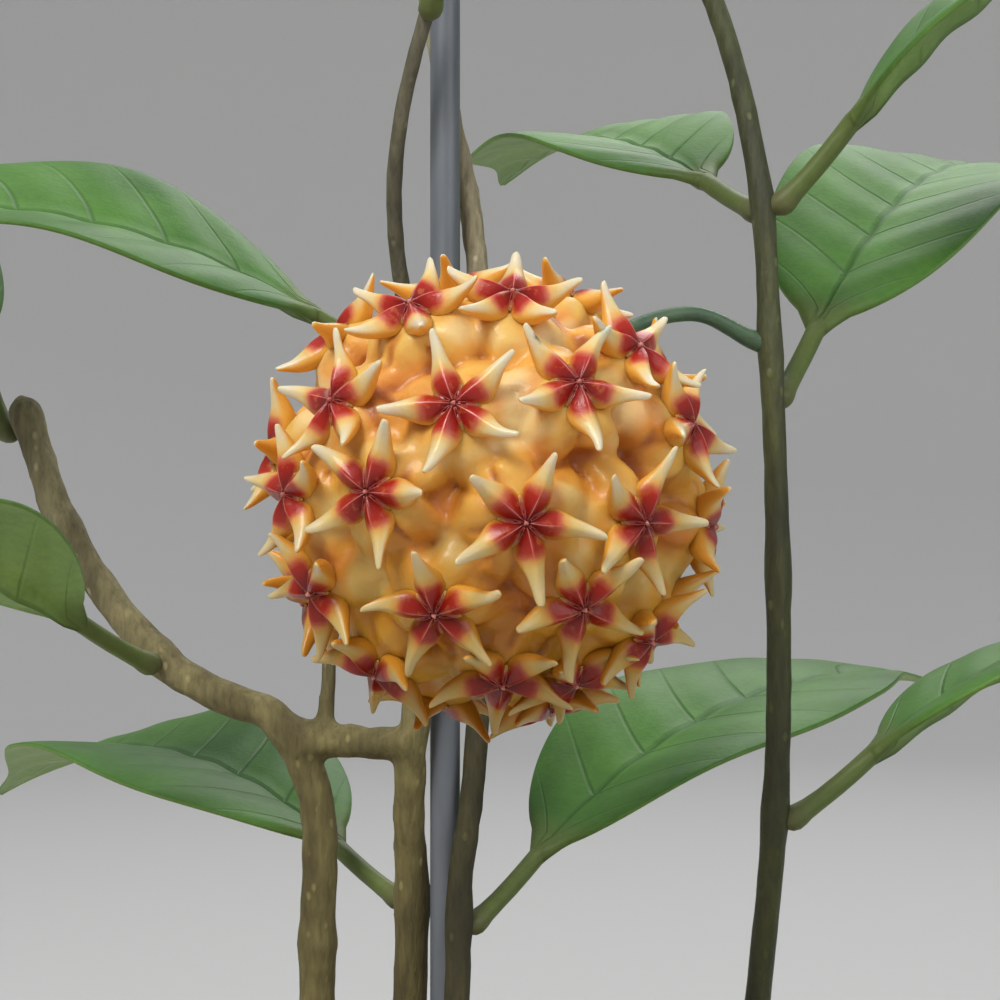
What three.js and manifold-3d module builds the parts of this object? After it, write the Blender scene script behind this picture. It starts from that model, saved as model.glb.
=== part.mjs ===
// A potted Hoya rintzii in flower: a round umbel of waxy star flowers on a curved stalk, carried by a
// climbing vine whose stems twine round a stake in a plain clay pot.
// Units are millimetres and +Z is up. The origin is the middle of the pot's underside.

import * as THREE from "three";
import { mergeVertices } from "three/addons/utils/BufferGeometryUtils.js";
import Module from "manifold-3d";

const wasm = await Module();
wasm.setup();

// Driving dimensions
const CLEARANCE = 0.35; // left between pieces that touch
const POT = { height: 100, foot: 41, shoulder: 53, shoulderAt: 78, rim: 60, wall: 5, floor: 6, sides: 28 };
const DRAINS = { count: 3, radius: 4, out: 22 };
const SOIL = { top: 90, crown: 1.6, lump: 1.1, foot: 7, flat: 44, sides: 24 };
const STAKE = { radius: 2, bottom: 30, top: 318 };
const STEM_FOOT = 46; // how deep the stems go into the soil
const PETIOLE = { length: 14, radius: 1.25 };
const BLADE = { width: 0.42, rise: 0.24, fold: 0.2, wave: 1.7, thickness: 0.85, edge: 0.65 };

// The umbel: where its middle is, and how far out the blooms' faces stand
const UMBEL = { centre: new THREE.Vector3(6, -50, 200), face: 25.6, knob: 4 };
const PEDUNCLE = { radius: 1, node: 219.6 };

const up = new THREE.Vector3(0, 0, 1);
const degrees = THREE.MathUtils.degToRad;
const at = (x, y, z) => new THREE.Vector3(x, y, z);
const heading = (azimuth, elevation) =>
  at(1, 0, 0)
    .applyAxisAngle(at(0, -1, 0), degrees(elevation))
    .applyAxisAngle(up, degrees(azimuth));

// A closed skin over sections that all have the same number of points, each running counterclockwise
// round the way ahead. The columns that otherDiagonal picks are split along their other diagonal.
function closedSkin(sections, otherDiagonal = () => false) {
  const count = sections[0].length;
  const points = sections.flat();
  const faces = [];
  for (let s = 0; s + 1 < sections.length; s++) {
    for (let j = 0; j < count; j++) {
      const next = (j + 1) % count;
      const [a, b] = [s * count + j, s * count + next];
      const [d, c] = [a + count, b + count];
      if (otherDiagonal(j)) faces.push(a, b, d, b, c, d);
      else faces.push(a, b, c, a, c, d);
    }
  }
  const last = (sections.length - 1) * count;
  for (let j = 1; j + 1 < count; j++) faces.push(0, j + 1, j, last, last + j, last + j + 1);
  const geometry = new THREE.BufferGeometry().setFromPoints(points);
  geometry.setIndex(faces);
  return geometry;
}

function solidOf(geometry) {
  const bare = geometry.clone();
  bare.deleteAttribute("normal");
  bare.deleteAttribute("uv");
  const merged = mergeVertices(bare, 1e-4);
  return new wasm.Manifold(
    new wasm.Mesh({
      numProp: 3,
      vertProperties: new Float32Array(merged.attributes.position.array),
      triVerts: new Uint32Array(merged.index.array),
    }),
  );
}

function joined(geometries) {
  let solids = geometries.map(solidOf);
  while (solids.length > 1) {
    const pairs = [];
    for (let i = 0; i < solids.length; i += 2)
      pairs.push(i + 1 < solids.length ? solids[i].add(solids[i + 1]) : solids[i]);
    solids = pairs;
  }
  return solids[0];
}

// The largest body of a solid, as a geometry. A pocket that joining sealed is filled by that.
function geometryOf(solid) {
  const body = solid.decompose().reduce((a, b) => (b.volume() > a.volume() ? b : a));
  const mesh = body.getMesh();
  const positions = new Float32Array(mesh.numVert * 3);
  for (let i = 0; i < mesh.numVert; i++)
    positions.set(mesh.vertProperties.subarray(i * mesh.numProp, i * mesh.numProp + 3), i * 3);
  const geometry = new THREE.BufferGeometry();
  geometry.setAttribute("position", new THREE.BufferAttribute(positions, 3));
  geometry.setIndex(new THREE.BufferAttribute(new Uint32Array(mesh.triVerts), 1));
  return geometry;
}

// A tapering round stem along a curve. Its sections don't twist about the curve.
function stem(curve, steps, sides, radiusAt) {
  const { normals, binormals } = curve.computeFrenetFrames(steps, false);
  const sections = [];
  for (let i = 0; i <= steps; i++) {
    const middle = curve.getPointAt(i / steps);
    const radius = radiusAt(i / steps);
    const section = [];
    for (let j = 0; j < sides; j++) {
      const turn = (2 * Math.PI * j) / sides;
      const point = middle.clone().addScaledVector(normals[i], radius * Math.cos(turn));
      section.push(point.addScaledVector(binormals[i], radius * Math.sin(turn)));
    }
    sections.push(section);
  }
  return closedSkin(sections);
}

const smooth = (points) => new THREE.CatmullRomCurve3(points, false, "centripetal");
const upright = (geometry) => geometry.rotateX(Math.PI / 2);

function piece(name, geometry, color, roughness) {
  const mesh = new THREE.Mesh(
    geometry,
    new THREE.MeshStandardMaterial({ color, roughness, metalness: 0, flatShading: true }),
  );
  mesh.name = name;
  return mesh;
}

const plant = new THREE.Group();
plant.name = "potted_hoya";

// Pot: thrown clay with a collared rim, and drain holes round the middle of its floor
function pot() {
  const { height, foot, shoulder, shoulderAt, rim, wall, floor, sides } = POT;
  const outline = [
    [0, 0],
    [foot - 1.5, 0],
    [foot, 1.5],
    [shoulder, shoulderAt],
    [rim - 2.5, shoulderAt + 1],
    [rim, height - 3],
    [rim - 1.5, height],
    [rim - wall, height],
    [rim - wall - 1.5, height - 2.5],
    [shoulder - wall, shoulderAt],
    [foot - wall, floor],
    [0, floor],
  ].map(([r, z]) => new THREE.Vector2(r, z));
  const drains = Array.from({ length: DRAINS.count }, (_, i) =>
    upright(new THREE.CylinderGeometry(DRAINS.radius, DRAINS.radius, 3 * floor, 10))
      .translate(DRAINS.out, 0, 0)
      .rotateZ((2 * Math.PI * i) / DRAINS.count),
  );
  return geometryOf(solidOf(upright(new THREE.LatheGeometry(outline, sides))).subtract(joined(drains)));
}

// Inside radius of the pot at a height
function potInside(z) {
  const { height, shoulder, shoulderAt, foot, rim, wall, floor } = POT;
  if (z <= shoulderAt) return foot - wall + ((shoulder - foot) * (z - floor)) / (shoulderAt - floor);
  const slope = (rim - 1.5 - shoulder) / (height - 2.5 - shoulderAt);
  return shoulder - wall + slope * (z - shoulderAt);
}

// Soil: a loose bark mix that fills the pot to just below the rim. Its top is lumpy, by a formula.
function lump(r, turn) {
  const [slow, quick] = [Math.sin(3 * turn + 0.11 * r), Math.sin(5 * turn - 0.17 * r)];
  return SOIL.lump * Math.sin(0.23 * r + 1.3) * slow * quick;
}

function soilMass() {
  const gap = CLEARANCE + 0.15;
  const wallRow = (z) => [potInside(z) - gap, z];
  const topRow = (r) => [r, SOIL.top + SOIL.crown * (1 - r / SOIL.flat)];
  const side = [SOIL.foot, POT.shoulderAt, SOIL.top - 2].map(wallRow);
  const top = [SOIL.flat, 30, 15].map(topRow);
  const sections = [...side, ...top].map(([r, z], row) =>
    Array.from({ length: SOIL.sides }, (_, j) => {
      const turn = (2 * Math.PI * j) / SOIL.sides;
      return at(r * Math.cos(turn), r * Math.sin(turn), row < side.length ? z : z + lump(r, turn));
    }),
  );
  return closedSkin(sections);
}

// Stake: a slim grey rod that the stems climb
function stake(larger = 0) {
  const radius = STAKE.radius + larger;
  const rod = new THREE.CylinderGeometry(radius, radius, STAKE.top - STAKE.bottom + 2 * larger, 12);
  return upright(rod).translate(0, 0, (STAKE.top + STAKE.bottom) / 2);
}

// A stem that leaves the soil away from the stake, closes in on it and twines round it counterclockwise
const TWINE_FROM = 150; // height at which a stem has reached the stake
const TURN_PER_MM = 180 / 65;
const LEAN_PER_MM = 0.6;

const taper = (from, to) => (t) => from + (to - from) * t;

class Twine extends THREE.Curve {
  constructor({ from, to, top, side, footOut, topOut }) {
    super();
    Object.assign(this, { foot: STEM_FOOT, top, side, footOut, topOut });
    const stemRadius = taper(from, to)((TWINE_FROM - STEM_FOOT) / (top - STEM_FOOT));
    this.close = STAKE.radius + stemRadius + CLEARANCE + 0.15;
  }
  getPoint(t) {
    const z = this.foot + (this.top - this.foot) * t;
    const climb = z - TWINE_FROM;
    const turn = degrees(this.side + climb * (climb < 0 ? LEAN_PER_MM : TURN_PER_MM));
    const below = THREE.MathUtils.smoothstep(-climb, 0, TWINE_FROM - this.foot);
    const above = THREE.MathUtils.smoothstep(climb, 0, this.top - TWINE_FROM);
    const out = this.close + (this.footOut - this.close) * below + (this.topOut - this.close) * above;
    return at(out * Math.cos(turn), out * Math.sin(turn), z);
  }
}

// The old woody stem
const OLD = { from: 3.2, to: 1.2, top: 284, side: 160, footOut: 14, topOut: 4.6, linkAt: 167 };
const oldCurve = new Twine(OLD);

// A stout stem that comes up to its left, bends over and reaches out to the left as an arm
const ARM = { from: 2.9, to: 2.2 };
const armCurve = smooth([
  at(-18, 4, STEM_FOOT),
  at(-18.5, 3.5, 92),
  at(-17.2, 2, 138),
  at(-17.6, 1.6, 160),
  at(-23, 2.4, 170),
  at(-30, 4, 172.6),
  at(-38, 6, 177),
  at(-52, 11, 194),
  at(-60, 15, 214),
]);

// The level link by which the two have grown together, and the stub of a shoot that stands on it
const LINK = { from: 2.2, to: 2.5 };
const linkRoot = oldCurve.getPoint((OLD.linkAt - STEM_FOOT) / (OLD.top - STEM_FOOT));
const linkCurve = smooth([linkRoot, at(-10, -0.8, 167), at(-14.5, 0.8, 167.2), at(-19.6, 1.9, 166.8)]);
const STUB = { from: 1.3, to: 1 };
const stubCurve = smooth([at(-16.4, 1.3, 167), at(-15.6, 1.8, 177), at(-15.9, 2.4, 187)]);

// The second, thinner stem on the other side of the stake
const SECOND = { from: 2.3, to: 0.9, top: 268, side: -60, footOut: 15, topOut: 7.3 };
const secondCurve = new Twine(SECOND);

// The young green stem to the right, which carries the umbel and leans back to the stake at its top
const YOUNG = { from: 1.9, to: 1.2 };
const youngCurve = smooth([
  at(33, -6, STEM_FOOT),
  at(35, -8, 92),
  at(39.5, -14, 130),
  at(42, -19, 165),
  at(41.8, -20, 200),
  at(41, -20, 219),
  at(39.8, -18, 240),
  at(34, -10, 266),
  at(22, 0, 288),
  at(8, 6.5, 300),
  at(-3, 6, 306),
  at(-11, 1, 314),
]);

// The share of a curve's length at which it reaches a height
function shareAt(curve, z) {
  let [low, high] = [0, 1];
  for (let i = 0; i < 30; i++) {
    const middle = (low + high) / 2;
    if (curve.getPointAt(middle).z < z) low = middle;
    else high = middle;
  }
  return (low + high) / 2;
}

// Where something that grows from a stem begins: just clear of the bark, square to its own heading
function rootOn(curve, share, stemRadius, direction, ownRadius) {
  const along = curve.getTangentAt(share);
  const slant = direction.dot(along);
  const outward = direction.clone().addScaledVector(along, -slant).normalize();
  const gap = stemRadius + CLEARANCE + ownRadius * Math.abs(slant);
  return curve.getPointAt(share).addScaledVector(outward, gap);
}

// One leaf in one skin: a stout round petiole that flattens into an oblong, pointed, arched blade with a
// rib under its middle. In its own frame it grows along +X with its upper face towards +Z. Each section
// runs over the upper face from left to right, and back under the lower face.
const ACROSS = [1, 0.52, 0, -0.52, -1];
const PETIOLE_STATIONS = [0, 0.3, 0.65, 0.92];
const BLADE_STATIONS = [0.03, 0.09, 0.21, 0.38, 0.57, 0.76, 0.9, 1];

function halfWidth(u, width) {
  const oval = Math.pow(Math.max(0, 1 - Math.pow(Math.abs(2 * Math.pow(u, 0.92) - 1), 2.3)), 0.72);
  const point = 1 - 0.6 * THREE.MathUtils.smoothstep(u, 0.62, 0.95);
  return Math.max(0.55, (width / 2) * oval * point);
}

function leaf({ length, droop, phase }) {
  const { rise, fold, wave } = BLADE;
  const width = length * BLADE.width;
  const begin = PETIOLE.length;
  const petiole = PETIOLE_STATIONS.map((t) =>
    Array.from({ length: 2 * ACROSS.length }, (_, j) => {
      const turn = (Math.PI * (j + 0.5)) / ACROSS.length;
      const [y, z] = [Math.cos(turn), Math.sin(turn)];
      const height = begin * rise * Math.pow(t, 1.4);
      return at(begin * t, PETIOLE.radius * y, height + PETIOLE.radius * (z - 0.5));
    }),
  );
  const blade = BLADE_STATIONS.map((u) => {
    const half = halfWidth(u, width);
    const height = begin * rise + length * (rise * u - droop * u * u);
    const middle = at(begin + length * u * (1 - 0.1 * droop * u), 0, height);
    const upper = ACROSS.map((v) => {
      const lift = fold * Math.abs(v) * half * (1.25 - 0.5 * Math.abs(v));
      const side = v > 0 ? 0 : 1.4;
      const ripple = wave * v * v * Math.sin(8.5 * u + phase + side) * Math.sin(Math.PI * u);
      return middle.clone().add(at(0, v * half, lift + ripple));
    });
    const rib = 1 + 1.1 * (1 - THREE.MathUtils.smoothstep(u, 0, 0.6));
    const lower = upper.map((point, i) => {
      const v = Math.abs(ACROSS[i]);
      const thickness = v === 1 ? BLADE.edge : BLADE.thickness * (v === 0 ? rib : 1);
      return point.clone().add(at(0, 0, -thickness));
    });
    return [...upper, ...lower.reverse()];
  });
  return closedSkin([...petiole, ...blade], (j) => j >= ACROSS.length && j < 2 * ACROSS.length - 1);
}

// Leaves: the stem that each grows on, the height of its node, the way it points, and its own size
const stems = {
  old: { curve: oldCurve, radius: taper(OLD.from, OLD.to) },
  arm: { curve: armCurve, radius: taper(ARM.from, ARM.to) },
  second: { curve: secondCurve, radius: taper(SECOND.from, SECOND.to) },
  young: { curve: youngCurve, radius: taper(YOUNG.from, YOUNG.to) },
};
const LEAVES = [
  { on: "young", height: 124, azimuth: -38, elevation: 8, length: 88, droop: 0.42, roll: 6 },
  { on: "young", height: 160, azimuth: 14, elevation: 22, length: 84, droop: 0.46, roll: -8 },
  { on: "young", height: 213, azimuth: 58, elevation: 30, length: 80, droop: 0.4, roll: 10 },
  { on: "young", height: 237, azimuth: 112, elevation: 10, length: 74, droop: 0.3, roll: -12 },
  { on: "young", height: 237, azimuth: -6, elevation: 36, length: 76, droop: 0.4, roll: 8 },
  { on: "young", height: 312, azimuth: 196, elevation: 30, length: 46, droop: 0.3, roll: 4 },
  { on: "second", height: 219, azimuth: 190, elevation: 16, length: 82, droop: 0.42, roll: -24 },
  { on: "second", height: 144, azimuth: 38, elevation: 24, length: 86, droop: 0.44, roll: 6 },
  { on: "second", height: 264, azimuth: -72, elevation: 38, length: 64, droop: 0.42, roll: 0 },
  { on: "old", height: 146, azimuth: 135, elevation: 12, length: 88, droop: 0.46, roll: -6 },
  { on: "old", height: 278, azimuth: 130, elevation: 34, length: 66, droop: 0.38, roll: 8 },
  { on: "arm", height: 178, azimuth: 232, elevation: 14, length: 78, droop: 0.4, roll: 14 },
  { on: "arm", height: 211, azimuth: 150, elevation: 52, length: 84, droop: 0.5, roll: 10 },
];

function placedLeaf(spec, index) {
  const { curve, radius } = stems[spec.on];
  const share = shareAt(curve, spec.height);
  const direction = heading(spec.azimuth, spec.elevation);
  const root = rootOn(curve, share, radius(share), direction, PETIOLE.radius);
  const geometry = leaf({ ...spec, phase: index * 1.7 });
  const mesh = piece(`leaf_${String(index + 1).padStart(2, "0")}`, geometry, 0x4f7a34, 0.45);
  mesh.rotation.set(degrees(spec.roll), -degrees(spec.elevation), degrees(spec.azimuth), "ZYX");
  mesh.position.copy(root);
  return mesh;
}

// Where the blooms show in the photograph, in its own 1000 by 1000 frame: the middle of each star, the
// angle at which one of its rays points, counterclockwise from the right, and how far it stands out of
// the ball, in millimetres. Those marked far show over the ball's edge from its other side.
const VIEW = { middleX: 490, middleY: 495, distance: 260, pixelsPerTangent: 2321 };
const SEEN = [
  { x: 410, y: 304, ray: 167, stand: 0.6 },
  { x: 513, y: 288, ray: 83, stand: 0 },
  { x: 640, y: 345, ray: 125, stand: 0.4 },
  { x: 328, y: 398, ray: 80, stand: 0 },
  { x: 452, y: 400, ray: 183, stand: -0.4 },
  { x: 580, y: 380, ray: 203, stand: 0 },
  { x: 695, y: 423, ray: 84, stand: 0.4 },
  { x: 266, y: 449, ray: 79, stand: 0, far: true },
  { x: 283, y: 494, ray: 156, stand: 0.3 },
  { x: 364, y: 492, ray: -3, stand: 0 },
  { x: 526, y: 523, ray: -6, stand: 0.4 },
  { x: 651, y: 524, ray: 73, stand: -0.3 },
  { x: 721, y: 528, ray: 80, stand: 0 },
  { x: 306, y: 596, ray: -41, stand: 0 },
  { x: 434, y: 616, ray: 170, stand: 0.3 },
  { x: 586, y: 612, ray: 194, stand: 0 },
  { x: 651, y: 641, ray: 50, stand: 0.6 },
  { x: 689, y: 637, ray: 45, stand: -0.8 },
  { x: 372, y: 680, ray: -35, stand: 0 },
  { x: 503, y: 690, ray: 188, stand: 0 },
  { x: 580, y: 693, ray: 0, stand: -0.5 },
  { x: 554, y: 718, ray: 250, stand: 0, far: true },
  { x: 437, y: 710, ray: 200, stand: 0, far: true },
];

// The way a bloom faces, from where it shows: the line of sight meets the ball of blooms there.
function facing({ x, y, far }) {
  const { middleX, middleY, distance, pixelsPerTangent } = VIEW;
  const sight = at((x - middleX) / pixelsPerTangent, 1, (middleY - y) / pixelsPerTangent);
  const a = sight.lengthSq();
  const inside = Math.max(0, distance ** 2 - a * (distance ** 2 - UMBEL.face ** 2));
  const depth = (distance + (far ? 1 : -1) * Math.sqrt(inside)) / a;
  return sight.multiplyScalar(depth).add(at(0, -distance, 0)).normalize();
}

// The star's frame: z the way it faces, and x along one ray, which shows at the angle given.
function starFrame(face, ray) {
  const [c, s] = [Math.cos(degrees(ray)), Math.sin(degrees(ray))];
  const along = at(c, -(c * face.x + s * face.z) / face.y, s).normalize();
  return new THREE.Matrix4().makeBasis(along, face.clone().cross(along), face);
}

// The peduncle comes into the ball from behind, up and to the right, and ends just short of the knob.
const peduncleShare = shareAt(youngCurve, PEDUNCLE.node);
const entry = at(25, -23, 221.3);
const peduncleEnd = entry.clone().sub(UMBEL.centre).setLength(UMBEL.knob + CLEARANCE).add(UMBEL.centre);
const peduncleCurve = smooth([
  rootOn(youngCurve, peduncleShare, stems.young.radius(peduncleShare), heading(176, 24), PEDUNCLE.radius),
  at(32, -20.6, 222.5),
  entry,
  at(18.5, -30, 216.5),
  peduncleEnd,
]);

// The rest of the ball is filled by blooms that push each other, the ones seen and the peduncle apart.
const HIDDEN = 15;
const PUSH = { steps: 400, step: 0.004 };

function hiddenFacings(seen) {
  const golden = Math.PI * (3 - Math.sqrt(5));
  const stalk = entry.clone().sub(UMBEL.centre).normalize();
  let hidden = Array.from({ length: HIDDEN }, (_, i) => {
    const y = (2 * i + 0.5) / (2 * HIDDEN);
    const r = Math.sqrt(1 - y * y);
    return at(r * Math.cos(2 * i * golden), y, r * Math.sin(2 * i * golden));
  });
  for (let n = 0; n < PUSH.steps; n++) {
    hidden = hidden.map((own, i) => {
      const push = at(0, 0, 0);
      for (const other of [...seen, stalk, ...hidden.filter((_, j) => j !== i)]) {
        const away = own.clone().sub(other);
        push.addScaledVector(away, 1 / Math.max(away.lengthSq(), 1e-6) ** 2);
      }
      return own.clone().addScaledVector(push, PUSH.step).normalize();
    });
  }
  return hidden;
}

// One bloom. Its corona is a star of narrow raised rays with steep sides and blunt upturned tips. Its
// corolla is a bulb below: five thick lobes bent right back, each between two rays. Heights are above
// the middle of the star. Each station of a ray gives its distance out, and the height of its ridge, its
// widest line and its underside; each row of the corolla its radius over a lobe and in a slit.
const RAYS = 5;
const RAY = [
  { out: 2.6, ridge: 0.25, half: 1.5, side: -1.1 },
  { out: 5.1, ridge: 0.2, half: 1.15, side: -0.6, under: -2.3 },
  { out: 8.0, ridge: 0.9, half: 0.42, side: 0.5, under: 0.1 },
];
const STAR = { middle: -0.25, valleyOut: 1.6, valley: -0.9 };
const COROLLA = [
  { height: -2.9, lobe: 4.2, slit: 3.4 },
  { height: -4.4, lobe: 6.6, slit: 5.2 },
  { height: -7.2, lobe: 7.4, slit: 5.7 },
  { height: -10.8, lobe: 4.1, slit: 3.4 },
];
const PEDICEL = { radius: 0.6, top: -10.9 };

function bloom(reach) {
  const points = [];
  const faces = [];
  const spot = (turn, out, aside, height) =>
    points.push(at(out, aside, height).applyAxisAngle(up, turn)) - 1;
  const facet = (first, ...rest) => {
    for (let i = 0; i + 1 < rest.length; i++) faces.push(first, rest[i], rest[i + 1]);
  };
  const fifth = (2 * Math.PI) / RAYS;
  const each = (make) => Array.from({ length: RAYS }, (_, i) => make(i * fifth));

  const middle = spot(0, 0, 0, STAR.middle);
  const valleys = each((turn) => spot(turn + fifth / 2, STAR.valleyOut, 0, STAR.valley));
  const rays = each((turn) =>
    RAY.map(({ out, ridge, half, side, under }) => ({
      ridge: spot(turn, out, 0, ridge),
      left: spot(turn, out, half, side),
      right: spot(turn, out, -half, side),
      under: under === undefined ? undefined : spot(turn, out, 0, under),
    })),
  );
  const rows = COROLLA.map(({ height, lobe, slit }) =>
    each((turn) => [spot(turn, slit, 0, height), spot(turn + fifth / 2, lobe, 0, height)]).flat(),
  );
  const stalk = [PEDICEL.top, -reach].map((height) =>
    each((turn) => spot(turn, PEDICEL.radius, 0, height)),
  );

  for (let i = 0; i < RAYS; i++) {
    const next = (i + 1) % RAYS;
    const ray = rays[i];
    const [root] = ray;
    root.under = rows[0][2 * i];
    facet(middle, valleys[(i + RAYS - 1) % RAYS], root.right, root.ridge);
    facet(middle, root.ridge, root.left, valleys[i]);
    for (let s = 0; s + 1 < ray.length; s++) {
      const [near, far] = [ray[s], ray[s + 1]];
      facet(near.ridge, near.right, far.right, far.ridge);
      facet(near.left, near.ridge, far.ridge, far.left);
      facet(near.left, far.left, far.under, near.under);
      facet(far.right, near.right, near.under, far.under);
    }
    const tip = ray[ray.length - 1];
    facet(tip.ridge, tip.right, tip.under, tip.left);

    const lobe = rows[0][2 * i + 1];
    facet(valleys[i], root.left, lobe, rays[next][0].right);
    facet(root.left, root.under, lobe);
    facet(rays[next][0].right, lobe, rows[0][2 * next]);

    const foot = rows[rows.length - 1];
    const [upper, lower] = stalk;
    facet(foot[2 * i], upper[i], foot[2 * i + 1]);
    facet(foot[2 * i + 1], upper[i], upper[next], foot[2 * next]);
    facet(upper[i], lower[i], lower[next], upper[next]);
  }
  for (let row = 0; row + 1 < rows.length; row++) {
    for (let j = 0; j < 2 * RAYS; j++) {
      const next = (j + 1) % (2 * RAYS);
      facet(rows[row][j], rows[row + 1][j], rows[row + 1][next], rows[row][next]);
    }
  }
  facet(...stalk[1].toReversed());
  const geometry = new THREE.BufferGeometry().setFromPoints(points);
  geometry.setIndex(faces);
  return geometry;
}

// All the blooms, grown together at the knob that their pedicels spring from
function umbel() {
  const seen = SEEN.map(facing);
  const blooms = SEEN.map(({ ray, stand }, i) => ({ face: seen[i], ray, stand }));
  for (const [i, face] of hiddenFacings(seen).entries())
    blooms.push({ face, ray: 29 * i, stand: 0.4 * Math.sin(2 * i) });
  const parts = blooms.map(({ face, ray, stand }) => {
    const reach = UMBEL.face + stand;
    const frame = starFrame(face, ray).setPosition(UMBEL.centre.clone().addScaledVector(face, reach));
    return bloom(reach).applyMatrix4(frame);
  });
  parts.push(new THREE.IcosahedronGeometry(UMBEL.knob, 1).translate(...UMBEL.centre));
  return geometryOf(joined(parts));
}

// Soil with a plain hole for the stake and for each stem. A hole follows its stem, a little wider.
const BORE_SIDES = 8;

function bore(curve, radius) {
  const end = shareAt(curve, SOIL.top + 8);
  const path = Array.from({ length: 5 }, (_, i) => curve.getPointAt((end * i) / 4));
  path[0].addScaledVector(curve.getTangentAt(0), -CLEARANCE);
  const wide = (radius + CLEARANCE) / Math.cos(Math.PI / BORE_SIDES);
  return stem(smooth(path), 5, BORE_SIDES, () => wide);
}

function soil() {
  const holes = [
    stake(CLEARANCE),
    bore(oldCurve, OLD.from),
    bore(armCurve, ARM.from),
    bore(secondCurve, SECOND.from),
    bore(youngCurve, YOUNG.from),
  ];
  return geometryOf(solidOf(soilMass()).subtract(joined(holes)));
}

const oldStem = geometryOf(
  joined([
    stem(oldCurve, 33, 6, taper(OLD.from, OLD.to)),
    stem(armCurve, 16, 6, taper(ARM.from, ARM.to)),
    stem(linkCurve, 3, 6, taper(LINK.from, LINK.to)),
    stem(stubCurve, 2, 5, taper(STUB.from, STUB.to)),
  ]),
);

plant.add(
  piece("pot", pot(), 0xb5613c, 0.85),
  piece("soil", soil(), 0x3b2c22, 0.95),
  piece("stake", stake(), 0x6d7680, 0.5),
  piece("old_stem", oldStem, 0x8a7558, 0.8),
  piece("second_stem", stem(secondCurve, 32, 6, taper(SECOND.from, SECOND.to)), 0x6b5a3e, 0.75),
  piece("young_stem", stem(youngCurve, 30, 6, taper(YOUNG.from, YOUNG.to)), 0x4d5a2c, 0.6),
  piece("peduncle", stem(peduncleCurve, 12, 7, () => PEDUNCLE.radius), 0x3c5a30, 0.5),
  piece("umbel", umbel(), 0xd89a45, 0.35),
  ...LEAVES.map(placedLeaf),
);

export default plant;
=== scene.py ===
import math
import random

import bmesh
import bpy
from mathutils import Matrix, Vector, kdtree, noise


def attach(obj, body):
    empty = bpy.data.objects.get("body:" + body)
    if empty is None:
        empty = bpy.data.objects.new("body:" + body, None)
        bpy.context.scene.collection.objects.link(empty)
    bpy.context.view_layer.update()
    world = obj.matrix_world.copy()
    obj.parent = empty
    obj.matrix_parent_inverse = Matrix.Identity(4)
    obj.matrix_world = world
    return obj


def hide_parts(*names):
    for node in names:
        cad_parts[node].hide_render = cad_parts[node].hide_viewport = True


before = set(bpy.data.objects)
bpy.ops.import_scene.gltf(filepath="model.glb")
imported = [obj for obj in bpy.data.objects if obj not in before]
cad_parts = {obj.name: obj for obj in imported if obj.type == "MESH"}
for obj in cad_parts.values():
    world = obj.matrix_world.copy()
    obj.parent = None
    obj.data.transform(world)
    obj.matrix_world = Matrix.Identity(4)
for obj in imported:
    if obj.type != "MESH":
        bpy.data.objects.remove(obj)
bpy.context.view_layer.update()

# Pot: a thrown clay flowerpot with a thick collar, unglazed and dried pale in patches. Its wall is spun
# from one profile, and three drain holes are cut through the floor. Sizes here and below are millimetres.
MM = 0.001
POT_PROFILE = [
    (0, 0), (39.0, 0), (40.4, 0.5), (41, 1.8), (52.4, 75), (53.0, 77.3), (53.6, 78.0), (56.6, 78.5),
    (57.6, 79.4), (59.9, 95.8), (59.8, 98.2), (58.8, 99.7), (57.0, 100), (55.0, 99.6), (53.8, 98.2),
    (53.1, 96), (48, 78), (36.5, 8), (34, 6), (0, 6),
]  # fmt: skip
DRAINS, DRAIN_OUT, DRAIN_RADIUS = 3, 22, 4
FLOOR_MIDDLE, PUNCH_LENGTH = 3, 20
CLAY_DARK, CLAY_PALE = (0.36, 0.125, 0.055), (0.52, 0.215, 0.11)
LIME_BLOOM = (0.66, 0.5, 0.39, 1)


def mesh_of(bm, name):
    """A new mesh with what a bmesh holds. The bmesh is freed."""
    mesh = bpy.data.meshes.new(name)
    bm.to_mesh(mesh)
    bm.free()
    return mesh


def in_scene(name, data):
    """A new object in the scene, with a mesh, a lamp or a camera in it."""
    thing = bpy.data.objects.new(name, data)
    bpy.context.scene.collection.objects.link(thing)
    return thing


def shown(bm, name, material, slot, *nodes):
    """Makes a bmesh in millimetres a piece of the plant in metres, which stands for the CAD nodes named."""
    bmesh.ops.transform(bm, matrix=Matrix.Scale(MM, 4), verts=bm.verts)
    mesh = mesh_of(bm, name)
    mesh.shade_smooth()
    mesh.materials.append(material)
    piece = in_scene(name, mesh)
    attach(piece, "root")
    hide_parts(*nodes)
    return piece


def modified(bm, kind, **settings):
    """The mesh that a bmesh becomes by one modifier."""
    rough = in_scene("rough", mesh_of(bm, "rough"))
    change = rough.modifiers.new("change", kind)
    for name, value in settings.items():
        setattr(change, name, value)
    mesh = bpy.data.meshes.new_from_object(rough.evaluated_get(bpy.context.evaluated_depsgraph_get()))
    bpy.data.objects.remove(rough)
    return mesh


def bmesh_of(mesh):
    bm = bmesh.new()
    bm.from_mesh(mesh)
    return bm


def spun(bm, profile, steps):
    """Turns a profile of (radius, height) all the way round the upright axis."""
    verts = [bm.verts.new((r, 0, z)) for r, z in profile]
    edges = [bm.edges.new(pair) for pair in zip(verts, verts[1:])]
    bmesh.ops.spin(bm, geom=verts + edges, axis=(0, 0, 1), angle=math.tau, steps=steps, use_merge=True)


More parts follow.
